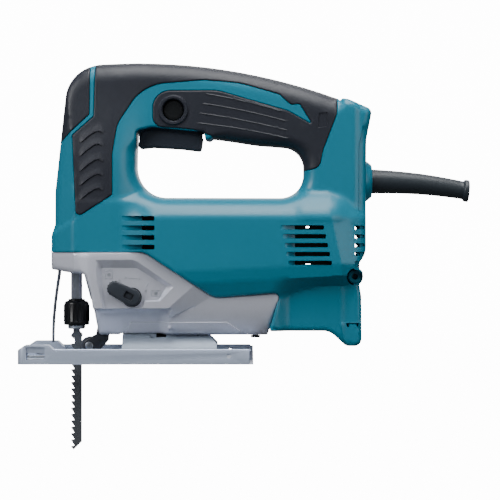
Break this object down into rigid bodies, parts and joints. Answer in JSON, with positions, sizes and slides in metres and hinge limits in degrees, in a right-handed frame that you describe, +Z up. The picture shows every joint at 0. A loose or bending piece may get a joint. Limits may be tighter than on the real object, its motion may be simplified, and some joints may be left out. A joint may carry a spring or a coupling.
{
  "type": "jigsaw",
  "caption": "Corded top-handle jigsaw with T-shank blade, orbital selector, tilting base and trigger in a moulded two-part housing with elastomer grip.",
  "frame": {"origin": "centre of the sole's underside, the face that rests on the work", "axes": "+Z up through the handle; -X is the cutting direction and +X the cord end; -Y is the tool's left side, with the orbital selector"},
  "size_m": [0.3071, 0.077, 0.2643],
  "materials": {
    "teal_housing": "satin moulded nylon",
    "elastomer": "matte fine-textured overmould",
    "cast_aluminium": "fine sandy die casting",
    "black_screw": "black phosphate",
    "base_metal": "bead-blasted",
    "bright_steel": "bright zinc plate",
    "blade_steel": "ground and set",
    "black_oxide": "black oxide",
    "spring_steel": "drawn wire",
    "ground_steel": "ground",
    "bronze": "sintered",
    "seal_rubber": "matte",
    "laminations": "oxidised",
    "copper": "enamelled",
    "black_plastic": "fine-grained",
    "carbon": "sintered carbon"
  },
  "bodies": {
    "frame": {"housing_left": "teal_housing", "housing_right": "teal_housing", "grip_left": "elastomer", "grip_right": "elastomer", "nose_pad_left": "elastomer", "nose_pad_right": "elastomer", "gear_housing": "cast_aluminium", "gear_frame": "cast_aluminium", "housing_screws": "black_screw", "gear_screws": "black_screw", "wire_guard": "bright_steel", "upper_guide": "bronze", "lower_guide": "bronze", "rod_seal": "seal_rubber", "gear_bearing": "ground_steel", "lever_pin": "bright_steel", "stator_core": "laminations", "field_coils": "copper", "front_bearing": "ground_steel", "rear_bearing": "ground_steel", "baffle_plate": "black_plastic", "brush_holders": "bronze", "carbon_brushes": "carbon", "brush_springs": "spring_steel", "switch_body": "black_plastic", "trigger_spring": "spring_steel", "lock_spring": "spring_steel", "speed_module": "black_plastic", "cord_guard": "seal_rubber", "cord_clamp": "black_plastic", "cord_clamp_screws": "bright_steel", "dust_nozzle": "black_plastic"},
    "clamp": {"clamp_saddle": "black_screw", "clamp_bolt": "black_screw", "clamp_nut": "bright_steel"},
    "base": {"base_plate": "base_metal", "base_bracket": "bright_steel", "bracket_rivets": "bright_steel"},
    "rod": {"drive_rod": "ground_steel", "blade": "blade_steel", "blade_holder": "black_oxide", "yoke": "ground_steel", "sleeve_spring": "spring_steel"},
    "sleeve": {"clamp_sleeve": "black_oxide"},
    "counterweight": {"counterweight": "ground_steel"},
    "crank": {"crank_gear": "ground_steel"},
    "drive_roller": {"drive_roller": "ground_steel"},
    "lever": {"roller_lever": "black_oxide", "roller_pin": "bright_steel"},
    "guide_roller": {"blade_roller": "black_oxide"},
    "selector": {"orbit_knob": "black_plastic", "orbit_cam": "bright_steel"},
    "armature": {"motor_shaft": "ground_steel", "rotor_core": "laminations", "rotor_windings": "copper", "commutator": "copper", "fan": "black_plastic"},
    "trigger": {"trigger": "black_plastic"},
    "lock": {"lock_button": "black_plastic"},
    "dial": {"speed_dial": "black_plastic"}
  },
  "joints": [
    {"name": "armature_spin", "type": "hinge", "parent": "frame", "child": "armature", "pos_m": [0, 0, 0.077], "axis": [1, 0, 0], "continuous": true},
    {"name": "crank_spin", "type": "hinge", "parent": "frame", "child": "crank", "pos_m": [0, 0, 0.1035], "axis": [1, 0, 0], "continuous": true},
    {"name": "blade_stroke", "type": "slide", "parent": "frame", "child": "rod", "axis": [0, 0, 1], "range_m": [-0.006, 0.017]},
    {"name": "counterweight_slide", "type": "slide", "parent": "frame", "child": "counterweight", "axis": [0, 0, 1], "range_m": [-0.00425, 0.0015]},
    {"name": "roller_slide", "type": "slide", "parent": "rod", "child": "drive_roller", "axis": [0, 1, 0], "range_m": [-0.0215, 0.0014]},
    {"name": "sleeve_twist", "type": "hinge", "parent": "rod", "child": "sleeve", "pos_m": [-0.042, 0, 0.03], "axis": [0, 0, 1], "range_deg": [0, 50], "stiffness_Nm_per_rad": 0.02, "springref_deg": -11.46},
    {"name": "lever_swing", "type": "hinge", "parent": "frame", "child": "lever", "pos_m": [-0.022, 0, 0.027], "axis": [0, -1, 0], "range_deg": [0, 3]},
    {"name": "guide_roller_spin", "type": "hinge", "parent": "lever", "child": "guide_roller", "pos_m": [-0.033, 0, 0.0109], "axis": [0, 1, 0], "continuous": true},
    {"name": "orbit_select", "type": "hinge", "parent": "frame", "child": "selector", "pos_m": [-0.003, 0, 0.0445], "axis": [0, 1, 0], "range_deg": [0, 132]},
    {"name": "trigger_pull", "type": "hinge", "parent": "frame", "child": "trigger", "pos_m": [0.0045, 0, 0.1595], "axis": [0, -1, 0], "range_deg": [0, 6], "stiffness_Nm_per_rad": 0.8, "springref_deg": -5.73, "deforming": ["trigger_spring"]},
    {"name": "lock_press", "type": "slide", "parent": "frame", "child": "lock", "axis": [0, 1, 0], "range_m": [0, 0.003], "stiffness_N_per_m": 400, "springref_m": -0.003, "deforming": ["lock_spring"]},
    {"name": "dial_turn", "type": "hinge", "parent": "frame", "child": "dial", "pos_m": [0.146, 0, 0.1639], "axis": [0, 1, 0], "range_deg": [0, 240]},
    {"name": "base_slide", "type": "slide", "parent": "frame", "child": "clamp", "axis": [1, 0, 0], "range_m": [0, 0.01]},
    {"name": "base_tilt", "type": "hinge", "parent": "clamp", "child": "base", "pos_m": [0, 0, 0], "axis": [1, 0, 0], "range_deg": [-45, 45]}
  ],
  "couplings": [
    {"joint": "crank_spin", "follows": "armature_spin", "ratio": -0.20455},
    {"joint": "counterweight_slide", "follows": "blade_stroke", "ratio": -0.25}
  ]
}
